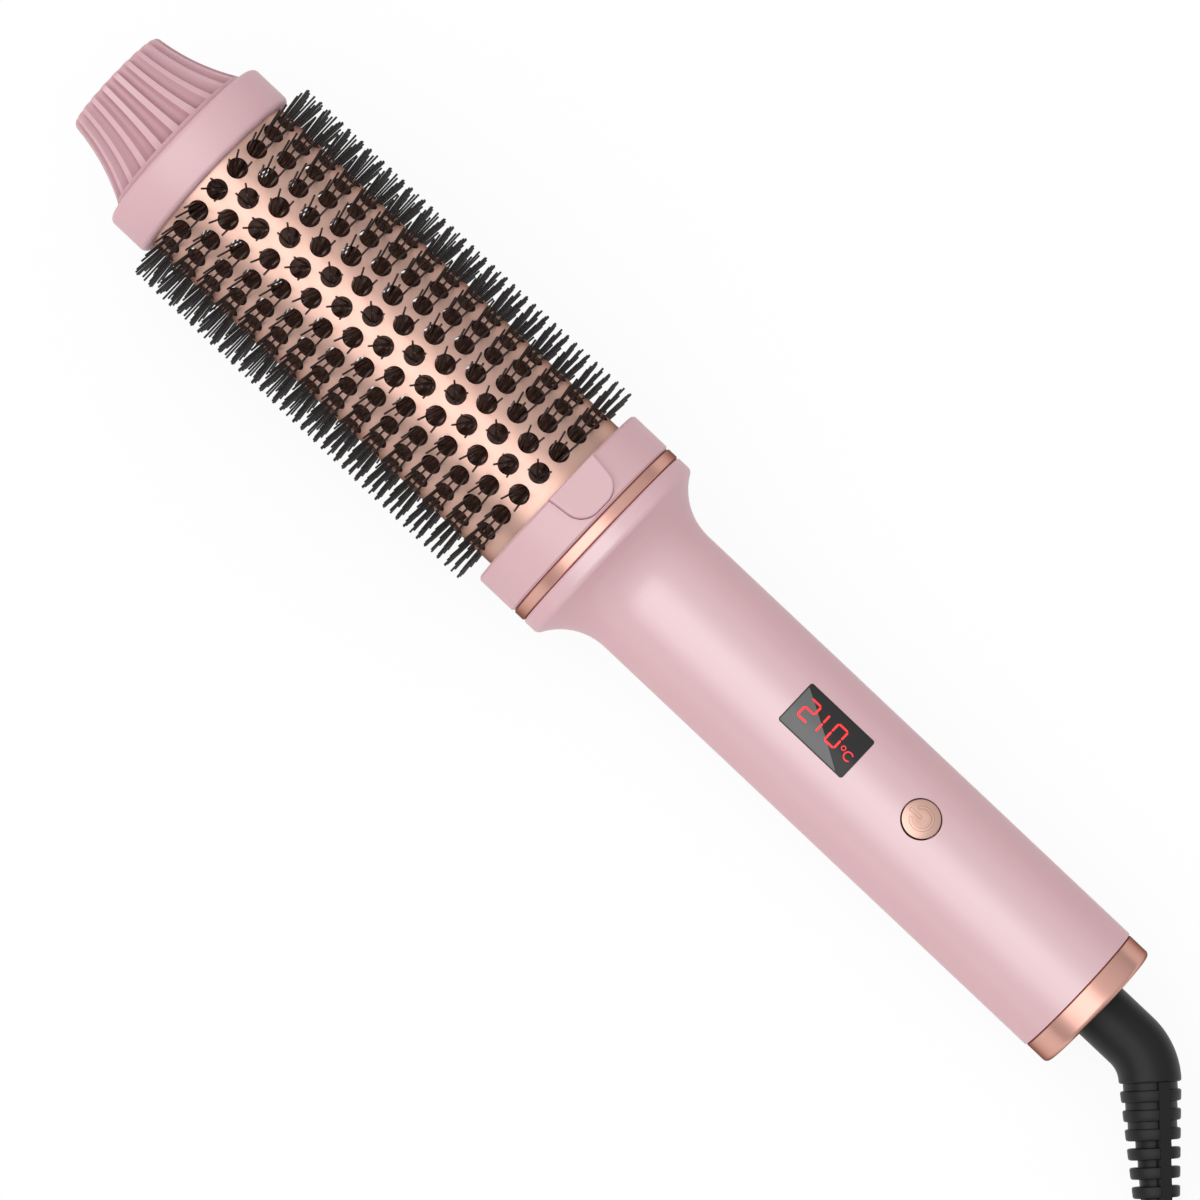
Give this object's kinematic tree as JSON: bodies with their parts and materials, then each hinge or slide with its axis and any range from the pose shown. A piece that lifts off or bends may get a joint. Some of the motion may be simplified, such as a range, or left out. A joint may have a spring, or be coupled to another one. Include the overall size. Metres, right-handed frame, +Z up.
{
  "type": "heated hair styling brush",
  "caption": "Heated round hair styling brush with a perforated barrel, bristles through its holes, fluted cool tip, display handle and swivel power cord.",
  "frame": {"origin": "on the table, under the middle of the lying brush; the cord is left out of that box", "axes": "+X from the tip to the cord end, seen from above; +Z up, the side with the display"},
  "size_m": [0.4196, 0.096, 0.0577],
  "materials": {
    "pink_plastic": "satin moulded plastic",
    "rose_gold_satin": "satin anodised rose gold",
    "rose_gold_bright": "polished rose gold plating",
    "bristle_nylon": "heat-resistant nylon",
    "rail_plastic": "dark heat-resistant plastic",
    "heater_film": "amber film heater",
    "display_black": "tinted gloss window",
    "led_module": "digit module",
    "board_green": "laminate board",
    "white_plastic": "heat-resistant plastic",
    "component_body": "moulded component",
    "steel": "plated steel",
    "contact_brass": "bright",
    "lead_wire": "glass-fibre sleeve",
    "end_grey": "fine matte",
    "black_rubber": "matte",
    "pin_nickel": "nickel plated"
  },
  "bodies": {
    "brush": {"tip_cap": "pink_plastic", "tip_plug": "pink_plastic", "tip_screw": "steel", "tip_bush": "white_plastic", "barrel_tube": "rose_gold_satin", "heater_film": "heater_film", "base_bush": "white_plastic", "bristle_core": "rail_plastic", "bristle_strip_01": "bristle_nylon", "bristle_strip_02": "bristle_nylon", "bristle_strip_03": "bristle_nylon", "bristle_strip_04": "bristle_nylon", "bristle_strip_05": "bristle_nylon", "bristle_strip_06": "bristle_nylon", "bristle_strip_07": "bristle_nylon", "bristle_strip_08": "bristle_nylon", "bristle_strip_09": "bristle_nylon", "bristle_strip_10": "bristle_nylon", "barrel_collar": "pink_plastic", "thumb_rest": "pink_plastic", "collar_screws": "steel", "collar_ring": "rose_gold_bright", "handle_front_shell": "pink_plastic", "handle_rear_shell": "pink_plastic", "display_window": "display_black", "led_display": "led_module", "tact_switch": "component_body", "board_carrier": "white_plastic", "control_board": "board_green", "board_screws": "steel", "terminal_block": "white_plastic", "heater_leads": "lead_wire", "film_capacitor": "component_body", "triac": "component_body", "thermal_fuse": "steel", "temperature_sensor": "component_body", "end_ring": "rose_gold_bright", "end_plate": "end_grey", "swivel_housing": "white_plastic", "contact_leaves": "contact_brass"},
    "power_button": {"power_button": "rose_gold_bright", "switch_plunger": "white_plastic"},
    "cord_swivel": {"swivel_spindle": "white_plastic", "swivel_clip": "steel", "slip_rings": "contact_brass", "strain_relief": "black_rubber", "power_cord": "black_rubber", "power_cord_coil": "black_rubber", "power_cord_tail": "black_rubber", "cord_tie": "black_rubber", "plug_body": "black_rubber", "plug_pins": "pin_nickel", "plug_pin_sleeves": "component_body"}
  },
  "joints": [
    {"name": "power_button_press", "type": "slide", "parent": "brush", "child": "power_button", "axis": [-0.0695, 0, -0.9976], "range_m": [0, 0.0008], "stiffness_N_per_m": 1500, "springref_m": -0.0002},
    {"name": "cord_swivel_turn", "type": "hinge", "parent": "brush", "child": "cord_swivel", "pos_m": [0.12634, 0, 0.01584], "axis": [0.9976, 0, -0.0695], "continuous": true}
  ]
}
